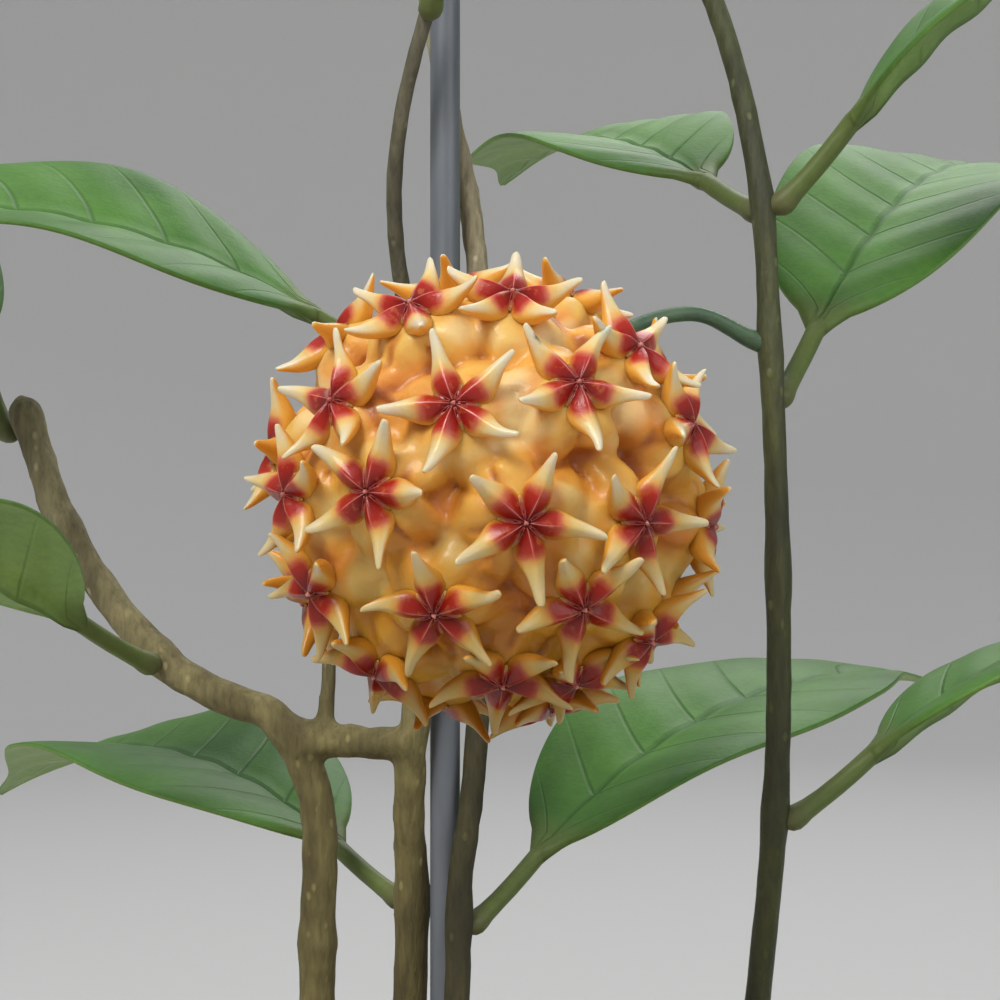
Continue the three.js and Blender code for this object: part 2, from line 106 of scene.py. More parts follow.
def closed(bm):
    """Welds the poles of a spun skin, fills the holes left in it and turns its faces outwards."""
    bmesh.ops.remove_doubles(bm, verts=bm.verts, dist=0.001)
    bmesh.ops.holes_fill(bm, edges=[e for e in bm.edges if e.is_boundary], sides=0)
    bmesh.ops.recalc_face_normals(bm, faces=bm.faces)


def wired(tree, kind, inputs, **settings):
    """A shader node with its settings made and its inputs filled or joined up."""
    node = tree.nodes.new(kind)
    for name, value in settings.items():
        setattr(node, name, value)
    for socket, value in inputs.items():
        if isinstance(value, bpy.types.NodeSocket):
            tree.links.new(value, node.inputs[socket])
        else:
            node.inputs[socket].default_value = value
    return node


def finish_named(name, **sockets):
    """A new material, with the tree of its nodes and its shader."""
    material = bpy.data.materials.new(name)
    material.use_nodes = True
    shader = material.node_tree.nodes["Principled BSDF"]
    for socket, value in sockets.items():
        shader.inputs[socket.replace("_", " ")].default_value = value
    return material, material.node_tree, shader


def ramp(tree, factor, *stops):
    """The colour that a factor picks from stops of (place, red, green, blue)."""
    node = wired(tree, "ShaderNodeValToRGB", {"Fac": factor})
    elements = node.color_ramp.elements
    while len(elements) < len(stops):
        elements.new(0.5)
    for element, (place, *colour) in zip(elements, stops):
        element.position = place
        element.color = (*colour, 1)
    return node.outputs["Color"]


def amount(tree, factor, *stops):
    """How much of a tint shows, which a factor picks from stops of (place, amount)."""
    return ramp(tree, factor, *[(place, much, much, much) for place, much in stops])


def speckle(tree, vector, scale, detail=4, roughness=0.55):
    """A cloudy pattern from 0 to 1. scale is in patches to a metre."""
    inputs = {"Vector": vector, "Scale": scale, "Detail": detail, "Roughness": roughness}
    return wired(tree, "ShaderNodeTexNoise", inputs).outputs["Fac"]


def blended(tree, factor, below, above, how="MIX"):
    """A tint with another laid over it, as far as the factor says."""
    inputs = {"Fac": factor, "Color1": below, "Color2": above}
    return wired(tree, "ShaderNodeMixRGB", inputs, blend_type=how).outputs["Color"]


def coloured(tree, shader, tint):
    tree.links.new(tint, shader.inputs["Base Color"])


def bumped(tree, shader, height, distance, strength=1.0):
    """Adds fine relief to a shader. distance is its depth in millimetres."""
    before = shader.inputs["Normal"].links
    inputs = {"Height": height, "Distance": distance * MM, "Strength": strength}
    if before:
        inputs["Normal"] = before[0].from_socket
    bump = wired(tree, "ShaderNodeBump", inputs)
    tree.links.new(bump.outputs["Normal"], shader.inputs["Normal"])


def object_place(tree, stretch=(1, 1, 1)):
    """The place on the plant that a pattern is read at, scaled along each axis."""
    place = wired(tree, "ShaderNodeTexCoord", {}).outputs["Object"]
    if stretch == (1, 1, 1):
        return place
    return wired(tree, "ShaderNodeMapping", {"Vector": place, "Scale": stretch}).outputs["Vector"]


clay, tree, shader = finish_named("clay", Roughness=0.86)
place = object_place(tree)
body = ramp(tree, speckle(tree, place, 38), (0.3, *CLAY_DARK), (0.7, *CLAY_PALE))
lime = amount(tree, speckle(tree, place, 55, 8, 0.7), (0.52, 0), (0.72, 0.55))
body = blended(tree, lime, body, LIME_BLOOM)
grit = speckle(tree, place, 900, 3)
sanded = ramp(tree, grit, (0.35, 0.2, 0.1, 0.06), (0.7, 0.75, 0.5, 0.36))
coloured(tree, shader, blended(tree, 0.25, body, sanded, "OVERLAY"))
bumped(tree, shader, speckle(tree, object_place(tree, (6, 6, 260)), 1), 0.5, 0.6)
bumped(tree, shader, grit, 0.25, 0.5)

bm = bmesh.new()
spun(bm, POT_PROFILE, 96)
closed(bm)
drains = bmesh.new()
for i in range(DRAINS):
    spot = Matrix.Rotation(i * math.tau / DRAINS, 4, "Z") @ Matrix.Translation((DRAIN_OUT, 0, FLOOR_MIDDLE))
    bmesh.ops.create_cone(
        drains,
        cap_ends=True,
        segments=28,
        radius1=DRAIN_RADIUS,
        radius2=DRAIN_RADIUS,
        depth=PUNCH_LENGTH,
        matrix=spot,
    )
punches = in_scene("punches", mesh_of(drains, "punches"))
bm = bmesh_of(modified(bm, "BOOLEAN", object=punches, operation="DIFFERENCE"))
bpy.data.objects.remove(punches)
shown(bm, "clay_pot", clay, "clay", "pot").data.set_sharp_from_angle(angle=math.radians(40))

# Soil: a coarse bark mix, brown-black and dry on top, that fills the pot to just below its rim. The bed is
# a spun plug with a lumpy top, and chips of bark lie on it.
SOIL_PROFILE = [(1, 7.2), (35.6, 7.2), (47.3, 78), (51.1, 88)]
SOIL_TOP, SOIL_HIGHEST = 90, 93.5
BED_RADIUS, BED_RINGS = 51.4, 44
HEAP, HEAP_RADIUS = 1.6, 44
CHIPS, CRUMBS, PERLITE, STREWN = 420, 900, 45, 50
# where the stake and the stems stand, and how far from them the grains keep
FEET, FOOT_ROOM = ((0, 0), (-2, 12), (-4, -12), (-18, 4), (35, -8)), 3


def mark(tree, name):
    """What a layer of the mesh says, such as how far along a leaf a point lies."""
    return wired(tree, "ShaderNodeAttribute", {}, attribute_name=name).outputs["Fac"]


def calc(tree, operation, a, b=0):
    return wired(tree, "ShaderNodeMath", {0: a, 1: b}, operation=operation).outputs["Value"]


soil, tree, shader = finish_named("bark_mix", Roughness=0.93)
place = object_place(tree)
crumb = speckle(tree, place, 420, 6, 0.7)
tint = ramp(
    tree,
    calc(tree, "MULTIPLY", calc(tree, "ADD", mark(tree, "tone"), crumb), 0.5),
    (0.2, 0.018, 0.011, 0.007),
    (0.45, 0.075, 0.04, 0.02),
    (0.72, 0.2, 0.115, 0.06),
    (0.9, 0.62, 0.6, 0.55),
)
coloured(tree, shader, tint)
bumped(tree, shader, crumb, 0.8)


def soil_height(x, y):
    """The top of the bed: a low heap that falls away at the pot's wall, with lumps of four sizes."""
    r = math.hypot(x, y)
    heap = HEAP * max(0, 1 - r / HEAP_RADIUS)
    fall = HEAP * max(0, (r - HEAP_RADIUS) / 7) ** 2
    lumps = sum(noise.noise(Vector((x, y, 9 * n)) * n * 0.09) * 1.3 / n**0.7 for n in (1, 3, 8, 20))
    return SOIL_TOP + heap - fall + lumps - 0.9


bm = bmesh.new()
tones = bm.verts.layers.float.new("tone")
top = [(BED_RADIUS * (1 - i / BED_RINGS), SOIL_TOP) for i in range(BED_RINGS)]
spun(bm, SOIL_PROFILE + top, 150)
closed(bm)
for v in bm.verts:
    v[tones] = 0.1 + 0.25 * noise.noise(v.co * 0.3)
    if v.co.z > SOIL_TOP - 1:
        v.co.z = soil_height(v.co.x, v.co.y)
chance = random.Random(4)
# unless its seed is set, noise_vector makes another pattern at each start
noise.seed_set(4)
for kind in ("chip",) * CHIPS + ("crumb",) * CRUMBS + ("perlite",) * PERLITE:
    r, turn = STREWN * math.sqrt(chance.random()), chance.uniform(0, math.tau)
    x, y = r * math.cos(turn), r * math.sin(turn)
    if kind == "chip":
        size = chance.uniform(1.0, 2.8)
        stretch = (size * chance.uniform(1.0, 2.4), size, size * chance.uniform(0.3, 0.7))
        shade, ragged = chance.uniform(0, 0.7), 0.4
    else:
        size = chance.uniform(0.6, 1.7) if kind == "crumb" else chance.uniform(0.9, 1.9)
        stretch = (size * chance.uniform(0.8, 1.3), size, size * chance.uniform(0.6, 0.9))
        shade, ragged = chance.uniform(0, 0.45) if kind == "crumb" else 2.0, 0.3
    lie = Matrix.Rotation(chance.uniform(0, math.tau), 4, "Z")
    lie @= Matrix.Rotation(chance.gauss(0, 0.35), 4, "X")
    if min((Vector((x, y)) - Vector(foot)).length for foot in FEET) < FOOT_ROOM + 0.7 * size:
        continue
    if kind == "chip":
        corners = chance.choice((4, 5, 6))
        made = bmesh.ops.create_cone(bm, cap_ends=True, segments=corners, radius1=0.62, radius2=0.48, depth=1)
    else:
        made = bmesh.ops.create_icosphere(bm, subdivisions=1, radius=0.55)
    grain = made["verts"]
    lift = min(soil_height(x, y) + 0.25 * size, SOIL_HIGHEST)
    put = Matrix.Translation((x, y, lift)) @ lie @ Matrix.Diagonal((*stretch, 1))
    for v in grain:
        v.co += noise.noise_vector(v.co * 2.3 + Vector((x, y, 0))) * ragged
        v[tones] = shade
    bmesh.ops.transform(bm, matrix=put, verts=grain)
shown(bm, "bark_bed", soil, "soil", "soil").data.set_sharp_from_angle(angle=math.radians(35))

# Stake: a slim straight rod with a grey-blue plastic coat, pushed down into the soil, for the stems to
# climb. It is a turned cylinder with its top edge rounded.
STAKE_RADIUS, STAKE_BOTTOM, STAKE_TOP, STAKE_ROUNDING = 2, 30, 318, 0.8
STAKE_DARK, STAKE_PALE = (0.09, 0.1, 0.118), (0.16, 0.175, 0.195)

coat, tree, shader = finish_named("stake_coat", Roughness=0.42)
place = object_place(tree, (1, 1, 0.15))
streaks = speckle(tree, place, 700, 5)
grey = ramp(tree, speckle(tree, place, 160), (0.3, *STAKE_DARK), (0.7, *STAKE_PALE))
coloured(tree, shader, blended(tree, 0.2, grey, streaks, "OVERLAY"))
bumped(tree, shader, streaks, 0.08)

bm = bmesh.new()
middle = Matrix.Translation((0, 0, (STAKE_TOP + STAKE_BOTTOM) / 2))
bmesh.ops.create_cone(
    bm,
    cap_ends=True,
    segments=32,
    radius1=STAKE_RADIUS,
    radius2=STAKE_RADIUS,
    depth=STAKE_TOP - STAKE_BOTTOM,
    matrix=middle,
)
top_edges = [e for e in bm.edges if all(v.co.z > STAKE_TOP - 1 for v in e.verts)]
bmesh.ops.bevel(
    bm, geom=top_edges, offset=STAKE_ROUNDING, segments=3, profile=0.5, affect="EDGES", material=-1
)
shown(bm, "stake_rod", coat, "stake", "stake").data.set_sharp_from_angle(angle=math.radians(50))

# Stems: two woody stems that twine up round the stake, a stout one at their left that bends over into an
# arm and has grown together with the older one by a short link, and a young green-brown stem to the right.
# Each is swept along its curve, a little thicker at its nodes, and has fine streaked bark.
STEM_FOOT, OLD_TOP, SECOND_TOP = 46, 284, 268
# the height from which they climb round the stake, half a turn in each 65 mm, and the slow lean below it
TWINE_FROM, CLIMB_TURN, LEAN_TURN, TWINE_STEPS = 150, 180 / 65, 0.6, 180
CLEARANCE = 0.35
LINK_AT = 167
# radii at the foot and at the tip. The skins below are drawn a little thinner, as their nodes stand out.
OLD_RADII, ARM_RADII, SECOND_RADII, YOUNG_RADII = (3.2, 1.2), (2.9, 2.2), (2.3, 0.9), (1.9, 1.2)
STEM_STEPS = 110
# the height below which the painted shade on the bark is at its darkest, and the span above it in which it
# fades, in metres
BARK_SHADE_LOW, BARK_SHADE_SPAN = 0.165, 0.08


def smoothstep(value, low, high):
    """0 below low and 1 above high, with a soft rise between."""
    t = min(1, max(0, (value - low) / (high - low)))
    return t * t * (3 - 2 * t)


def between(ends, share):
    """What lies a share of the way from the first of two ends to the second."""
    return ends[0] + (ends[1] - ends[0]) * share


def twine(radii, top, side, foot_out, top_out):
    """A curve that leaves the soil away from the stake, closes in on it and climbs round it."""
    close = STAKE_RADIUS + between(radii, (TWINE_FROM - STEM_FOOT) / (top - STEM_FOOT)) + CLEARANCE + 0.15
    path = []
    for i in range(TWINE_STEPS + 1):
        z = STEM_FOOT + (top - STEM_FOOT) * i / TWINE_STEPS
        climb = z - TWINE_FROM
        turn = math.radians(side + climb * (LEAN_TURN if climb < 0 else CLIMB_TURN))
        below = smoothstep(-climb, 0, TWINE_FROM - STEM_FOOT)
        above = smoothstep(climb, 0, top - TWINE_FROM)
        out = close + (foot_out - close) * below + (top_out - close) * above
        path.append(Vector((out * math.cos(turn), out * math.sin(turn), z)))
    return path


def through(points, steps=24):
    """A centripetal Catmull-Rom curve through points."""
    points = [Vector(p) for p in points]
    points = [2 * points[0] - points[1], *points, 2 * points[-1] - points[-2]]
    path = []
    for a, b, c, d in zip(points, points[1:], points[2:], points[3:]):
        spans = [max(math.sqrt((q - p).length), 1e-4) for p, q in ((a, b), (b, c), (c, d))]
        first, span, last = spans
        leave = ((b - a) / first - (c - a) / (first + span) + (c - b) / span) * span
        reach = ((c - b) / span - (d - b) / (span + last) + (d - c) / last) * span
        for i in range(steps):
            t = i / steps
            path.append(
                b * (2 * t**3 - 3 * t**2 + 1)
                + leave * (t**3 - 2 * t**2 + t)
                + c * (3 * t**2 - 2 * t**3)
                + reach * (t**3 - t**2)
            )
    return [*path, points[-2]]


def even(path, count):
    """A path's points, set out again at equal steps."""
    lengths = [0]
    for p, q in zip(path, path[1:]):
        lengths.append(lengths[-1] + (q - p).length)
    spaced, i = [], 0
    for n in range(count + 1):
        goal = lengths[-1] * n / count
        while i < len(path) - 2 and lengths[i + 1] < goal:
            i += 1
        t = (goal - lengths[i]) / max(lengths[i + 1] - lengths[i], 1e-9)
        spaced.append(path[i].lerp(path[i + 1], min(1, t)))
    return spaced


def swept(bm, sections):
    """Extrudes a ring of edges from one section to the next and closes both ends. Gives back the rings."""
    ring = [bm.verts.new(point) for point in sections[0]]
    edges = [bm.edges.new(pair) for pair in zip(ring, ring[1:] + ring[:1])]
    rings = [ring]
    for section in sections[1:]:
        made = bmesh.ops.extrude_edge_only(bm, edges=edges)["geom"]
        fresh = {g for g in made if isinstance(g, bmesh.types.BMVert)}
        ring = [next(e.other_vert(v) for e in v.link_edges if e.other_vert(v) in fresh) for v in ring]
        edges = [bm.edges.get(pair) for pair in zip(ring, ring[1:] + ring[:1])]
        for v, point in zip(ring, section):
            v.co = point
        rings.append(ring)
    caps = [bm.faces.new(rings[0][::-1]), bm.faces.new(rings[-1])]
    sides = {f for r in rings for v in r for f in v.link_faces}
    bmesh.ops.recalc_face_normals(bm, faces=list(sides.union(caps)))
    return rings


def tube(bm, path, radius, sides=12, knobble=0.0):
    """Sweeps a round section along a path. radius gives its size from the share of the way along."""
    side = Vector((0, 0, 1)).cross(path[1] - path[0])
    side = side.normalized() if side.length > 1e-6 else Vector((1, 0, 0))
    heading = (path[1] - path[0]).normalized()
    side = (side - heading * side.dot(heading)).normalized()
    sections = []
    for i, point in enumerate(path):
        ahead = (path[min(i + 1, len(path) - 1)] - path[max(i - 1, 0)]).normalized()
        side = heading.rotation_difference(ahead) @ side
        heading = ahead
        across = heading.cross(side)
        size = radius(i / (len(path) - 1))
        section = []
        for j in range(sides):
            turn = math.tau * j / sides
            way = side * math.cos(turn) + across * math.sin(turn)
            rough = knobble * noise.noise((point + way * size) * 0.45)
            section.append(point + way * (size + rough))
        sections.append(section)
    return swept(bm, sections)


def fused(bm, voxel, rounds):
    """Overlapping bodies grown together into one skin, with soft valleys where they meet."""
    bm = bmesh_of(modified(bm, "REMESH", mode="VOXEL", voxel_size=voxel))
    axes = {"use_axis_x": True, "use_axis_y": True, "use_axis_z": True}
    for _ in range(rounds):
        bmesh.ops.smooth_vert(bm, verts=bm.verts, factor=0.5, **axes)
    return bm


def at_height(path, z):
    """The point, the way ahead and the share of the way along where a climbing path reaches a height."""
    i = next(n for n in range(len(path) - 1) if path[n + 1].z >= z)
    t = (z - path[i].z) / max(path[i + 1].z - path[i].z, 1e-9)
    return path[i].lerp(path[i + 1], t), (path[i + 1] - path[i]).normalized(), (i + t) / (len(path) - 1)


def with_nodes(base, tip, shares):
    """A stem's radius: a taper from base to tip that swells a little at the nodes and closes round."""

    def radius(t):
        swell = 1 + 0.16 * sum(math.exp(-(((t - s) / 0.012) ** 2)) for s in shares)
        closing = math.sqrt(max(0.06, 1 - max(0, (t - 0.985) / 0.015) ** 2))
        return between((base, tip), t) * swell * closing

    return radius


def shaded_downwards(tree, tint, bottom, span, *stops):
    """A tint with painted shade that darkens it downwards: its product with stops of colour along a span of
    height in metres.
    """
    height = wired(tree, "ShaderNodeSeparateXYZ", {"Vector": object_place(tree)}).outputs["Z"]
    share = calc(tree, "DIVIDE", calc(tree, "SUBTRACT", height, bottom), span)
    return blended(tree, 1.0, tint, ramp(tree, share, *stops, (1, 1, 1, 1)), "MULTIPLY")


def bark(name, dark, pale, roughness):
    """A bark of dark and pale patches, streaked along the stem and dotted with pores, with painted shade that
    darkens it towards the soil.
    """
    material, tree, shader = finish_named(name, Roughness=roughness)
    place = object_place(tree, (1, 1, 0.22))
    streaks = speckle(tree, place, 1100, 6, 0.65)
    patches = speckle(tree, place, 130, 3)
    tint = ramp(tree, patches, (0.35, *dark), (0.65, *pale))
    streaked = ramp(tree, streaks, (0.3, 0.18, 0.16, 0.14), (0.7, 0.8, 0.78, 0.72))
    tint = blended(tree, 0.55, tint, streaked, "OVERLAY")
    pores = wired(tree, "ShaderNodeTexVoronoi", {"Vector": object_place(tree, (1, 1, 0.6)), "Scale": 420})
    dots = amount(tree, pores.outputs["Distance"], (0.1, 0.5), (0.2, 0))
    tint = blended(tree, dots, tint, (*[min(1, 1.7 * c) for c in pale], 1))
    coloured(tree, shader, shaded_downwards(tree, tint, BARK_SHADE_LOW, BARK_SHADE_SPAN, (0, 0.42, 0.4, 0.22)))
    bumped(tree, shader, streaks, 0.35)
    bumped(tree, shader, dots, 0.2)
    return material


old_path = even(twine(OLD_RADII, OLD_TOP, 160, 14, 4.6), STEM_STEPS)
arm_points = [
    (-18, 4, STEM_FOOT), (-18.5, 3.5, 92), (-17.2, 2, 138), (-17.6, 1.6, 160), (-23, 2.4, 170),
    (-30, 4, 172.6), (-38, 6, 177), (-52, 11, 194), (-60, 15, 214),
]  # fmt: skip
arm_path = even(through(arm_points), STEM_STEPS)
link_root = at_height(old_path, LINK_AT)[0]
link_path = even(through([link_root, (-10, -0.8, 167), (-14.5, 0.8, 167.2), (-19.6, 1.9, 166.8)]), 20)
stub_path = even(through([(-16.4, 1.3, 167), (-15.6, 1.8, 177), (-15.9, 2.4, 187)]), 20)
second_path = even(twine(SECOND_RADII, SECOND_TOP, -60, 15, 7.3), STEM_STEPS)
young_points = [
    (33, -6, STEM_FOOT), (35, -8, 92), (39.5, -14, 130), (42, -19, 165), (41.8, -20, 200), (41, -20, 219),
    (39.8, -18, 240), (34, -10, 266), (22, 0, 288), (8, 6.5, 300), (-3, 6, 306), (-11, 1, 314),
]  # fmt: skip
young_path = even(through(young_points), 130)


def shares(path, *heights):
    """How far along a path its nodes lie, given their heights."""
    return [at_height(path, z)[2] for z in heights]


old_bark = bark("old_bark", dark=(0.2, 0.17, 0.105), pale=(0.47, 0.42, 0.29), roughness=0.82)
old_nodes = shares(old_path, 112, 146, 205, 240, 278)
arm_nodes = shares(arm_path, 110, 140, 178, 195, 211)
bm = bmesh.new()
tube(bm, old_path, with_nodes(3.1, 1.15, old_nodes), sides=18, knobble=0.35)
tube(bm, arm_path, with_nodes(2.85, 2.15, arm_nodes), sides=18, knobble=0.4)
tube(bm, link_path, lambda t: 2.1 + 1.2 * (2 * t - 1) ** 6 + 0.3 * t, sides=16, knobble=0.7)
tube(bm, stub_path, with_nodes(1.3, 0.95, [0.75]), sides=12, knobble=0.2)
shown(fused(bm, voxel=0.5, rounds=6), "old_stem_bark", old_bark, "old_bark", "old_stem")

second_bark = bark("second_bark", dark=(0.07, 0.065, 0.04), pale=(0.18, 0.165, 0.11), roughness=0.72)
second_nodes = shares(second_path, 110, 144, 184, 219, 264)
bm = bmesh.new()
tube(bm, second_path, with_nodes(2.25, 0.88, second_nodes), sides=14, knobble=0.2)
shown(bm, "second_stem_bark", second_bark, "second_bark", "second_stem")

young_bark = bark("young_bark", dark=(0.045, 0.05, 0.018), pale=(0.125, 0.14, 0.05), roughness=0.5)
young_nodes = shares(young_path, 96, 124, 160, 190, 219, 237, 270, 312)
bm = bmesh.new()
tube(bm, young_path, with_nodes(1.85, 1.15, young_nodes), sides=14, knobble=0.12)
shown(bm, "young_stem_skin", young_bark, "young_bark", "young_stem")

# Leaves: thick and waxy, oblong with a drawn-out point, mid-green with darker veins and paler beneath.
# Each is one swept skin, a round petiole that flattens into an arched, folded blade, which puffs up
# between its side veins.
PETIOLE_LENGTH, PETIOLE_RADIUS = 14, 1.25
BLADE_RISE, BLADE_FOLD, BLADE_WAVE = 0.24, 0.2, 1.7
BLADE_WIDTH, BLADE_PUFF, BLADE_THICKNESS = 0.42, 0.35, 0.85
MIDRIB_GROOVE, MIDRIB_DEPTH = 0.35, 1.3
ACROSS = [math.cos(math.pi * i / 20) for i in range(21)]
STATIONS = 84
SIDE_VEINS, VEIN_SWEEP, VEIN_BEND, VEIN_WIDTH = 8, 0.13, 1.3, 0.05
# stem, height of the node, azimuth, elevation, length, droop, roll
LEAVES = [
    ("young", 124, -38, 8, 88, 0.42, 6),
    ("young", 160, 14, 22, 84, 0.46, -8),
    ("young", 213, 58, 30, 80, 0.4, 10),
    ("young", 237, 112, 10, 74, 0.3, -12),
    ("young", 237, -6, 36, 76, 0.4, 8),
    ("young", 312, 196, 30, 46, 0.3, 4),
    ("second", 219, 190, 16, 82, 0.42, -24),
    ("second", 144, 38, 24, 86, 0.44, 6),
    ("second", 264, -72, 38, 64, 0.42, 0),
    ("old", 146, 135, 12, 88, 0.46, -6),
    ("old", 278, 130, 34, 66, 0.38, 8),
    ("arm", 178, 232, 14, 78, 0.4, 14),
    ("arm", 211, 150, 52, 84, 0.5, 10),
]
STEMS = {
    "old": (old_path, OLD_RADII),
    "arm": (arm_path, ARM_RADII),
    "second": (second_path, SECOND_RADII),
    "young": (young_path, YOUNG_RADII),
}

green, tree, shader = finish_named(
    "leaf_green", Roughness=0.5, Subsurface_Weight=0.15, Subsurface_Scale=0.001, Specular_IOR_Level=0.35
)
shader.inputs["Subsurface Radius"].default_value = (0.5, 1.0, 0.2)
place = object_place(tree)
along = mark(tree, "along")
across = calc(tree, "ABSOLUTE", mark(tree, "across"))
beneath = mark(tree, "beneath")
swept_back = calc(tree, "MULTIPLY", calc(tree, "POWER", across, VEIN_BEND), VEIN_SWEEP)
rows = calc(tree, "MULTIPLY", calc(tree, "SUBTRACT", along, swept_back), SIDE_VEINS)
from_vein = calc(tree, "PINGPONG", rows, 0.5)
vein = calc(tree, "MAXIMUM", calc(tree, "SUBTRACT", VEIN_WIDTH, from_vein), 0)
vein = calc(tree, "MULTIPLY", vein, calc(tree, "SUBTRACT", 18, calc(tree, "MULTIPLY", across, 16)))
rib = calc(tree, "SUBTRACT", 1, calc(tree, "MULTIPLY", across, 20))
vein = calc(tree, "MINIMUM", calc(tree, "MAXIMUM", vein, rib), 1)
patches = speckle(tree, place, 45)
upper = ramp(tree, patches, (0.3, 0.035, 0.115, 0.014), (0.7, 0.085, 0.22, 0.03))
upper = blended(tree, amount(tree, vein, (0, 0), (1, 0.7)), upper, (0.018, 0.075, 0.01, 1))
lower = ramp(tree, patches, (0.3, 0.15, 0.27, 0.06), (0.7, 0.24, 0.37, 0.09))
lower = blended(tree, amount(tree, vein, (0, 0), (1, 0.6)), lower, (0.09, 0.2, 0.03, 1))
tint = blended(tree, calc(tree, "MAXIMUM", beneath, 0), upper, lower)
stalk = amount(tree, along, (0, 1), (0.06, 0))
tint = blended(tree, stalk, tint, (0.11, 0.15, 0.035, 1))
# beneath falls to -1.17 at the foot of the petiole
corky = amount(tree, calc(tree, "ADD", beneath, 1.2), (0.05, 0.8), (0.4, 0))
tint = blended(tree, corky, tint, (0.13, 0.115, 0.055, 1))
coloured(tree, shader, blended(tree, 0.2, tint, speckle(tree, place, 900, 4), "OVERLAY"))
bumped(tree, shader, speckle(tree, place, 1600, 3), 0.05)
bumped(tree, shader, vein, -0.2)


def half_width(u, width):
    """Half the blade's width at the share u of its length: an oval with a drawn-out point."""
    oval = max(0, 1 - abs(2 * u**0.92 - 1) ** 2.3) ** 0.72
    return max(0.4, width / 2 * oval * (1 - 0.6 * smoothstep(u, 0.62, 0.95)))


def leaf_sections(length, droop, phase):
    """A leaf's sections from foot to point, and for each of their points how far along and across the
    blade it lies and whether it is on its underside."""
    sections, notes = [], []
    for t in (-0.17, -0.155, -0.12, -0.06, 0.0, 0.06, 0.14, 0.3, 0.5, 0.7, 0.88):
        height = PETIOLE_LENGTH * BLADE_RISE * max(0, t) ** 1.4
        swell = PETIOLE_RADIUS * (1 + 0.3 * math.exp(-((t / 0.12) ** 2)))
        swell *= math.sqrt(max(0.04, 1 - (min(0, t + 0.04) / 0.132) ** 2))
        section = []
        for j in range(2 * len(ACROSS)):
            a = math.pi * (j + 0.5) / len(ACROSS)
            spot = (PETIOLE_LENGTH * t, swell * math.cos(a), height + swell * (math.sin(a) - 0.4))
            section.append(Vector(spot))
        sections.append(section)
        notes.append([(0, 0, t - 1)] * len(section))
    for i in range(STATIONS + 1):
        u = 0.02 + 0.98 * (i / STATIONS) ** 0.95
        half = half_width(u, BLADE_WIDTH * length)
        x = PETIOLE_LENGTH + length * u * (1 - 0.1 * droop * u)
        z = PETIOLE_LENGTH * BLADE_RISE + length * (BLADE_RISE * u - droop * u * u)
        upper, lower = [], []
        for v in ACROSS:
            lift = BLADE_FOLD * abs(v) * half * (1.25 - 0.5 * abs(v))
            swing = math.sin(8.5 * u + phase + (0 if v > 0 else 1.4)) * math.sin(math.pi * u)
            wave = BLADE_WAVE * v * v * swing
            sweep = (u - VEIN_SWEEP * abs(v) ** VEIN_BEND) * SIDE_VEINS
            puff = BLADE_PUFF * math.sin(math.pi * sweep) ** 2 * (1 - v**4)
            puff = puff * smoothstep(u, 0, 0.15) * (1 - smoothstep(u, 0.8, 1))
            groove = MIDRIB_GROOVE * math.exp(-((v / 0.08) ** 2)) * (1 - u)
            rib = MIDRIB_DEPTH * math.exp(-((v * half / 1.1) ** 2)) * (1 - smoothstep(u, 0, 0.9))
            thick = BLADE_THICKNESS * (1 - 0.3 * v**6) + rib
            top = Vector((x, v * half, z + lift + wave + puff - groove - 0.4 * v**8))
            upper.append(top)
            lower.append(top - Vector((0, 0, thick - 0.5 * puff)))
        sections.append(upper + lower[::-1])
        notes.append([(u, v, 0) for v in ACROSS] + [(u, v, 1) for v in ACROSS[::-1]])
    return sections, notes


def way(azimuth, elevation):
    """The direction of two angles in degrees."""
    a, e = math.radians(azimuth), math.radians(elevation)
    return Vector((math.cos(e) * math.cos(a), math.cos(e) * math.sin(a), math.sin(e)))


def root_on(path, height, radii, heading, own_radius):
    """Where something that grows from a stem begins: just clear of the bark."""
    point, ahead, share = at_height(path, height)
    slant = heading.dot(ahead)
    outward = (heading - ahead * slant).normalized()
    return point + outward * (between(radii, share) + CLEARANCE + own_radius * abs(slant))


for number, (stem, height, azimuth, elevation, length, droop, roll) in enumerate(LEAVES):
    path, radii = STEMS[stem]
    root = root_on(path, height, radii, way(azimuth, elevation), PETIOLE_RADIUS)
    put = (
        Matrix.Translation(root)
        @ Matrix.Rotation(math.radians(azimuth), 4, "Z")
        @ Matrix.Rotation(-math.radians(elevation), 4, "Y")
        @ Matrix.Rotation(math.radians(roll), 4, "X")
    )
    bm = bmesh.new()
    layers = [bm.verts.layers.float.new(name) for name in ("along", "across", "beneath")]
    sections, notes = leaf_sections(length, droop, number * 1.7)
    for ring, row in zip(swept(bm, sections), notes):
        for v, values in zip(ring, row):
            for layer, value in zip(layers, values):
                v[layer] = value
    bmesh.ops.transform(bm, matrix=put, verts=bm.verts)
    shown(bm, f"blade_{number + 1:02d}", green, "leaf", f"leaf_{number + 1:02d}")

# Peduncle: the dark green stalk that arches from the young stem into the back of the umbel. It ends in
# the knob that the pedicels spring from.
UMBEL, KNOB_RADIUS = Vector((6, -50, 200)), 4
ENTRY = Vector((25, -23, 221.3))
STALK_AT, STALK_RADIUS = 219.6, 0.95

stalk_skin, tree, shader = finish_named("stalk_green", Roughness=0.45, Coat_Weight=0.15)
place = object_place(tree)
tint = ramp(tree, speckle(tree, place, 260), (0.3, 0.034, 0.074, 0.042), (0.7, 0.07, 0.13, 0.062))
coloured(tree, shader, tint)
bumped(tree, shader, speckle(tree, place, 1500, 5), 0.12)

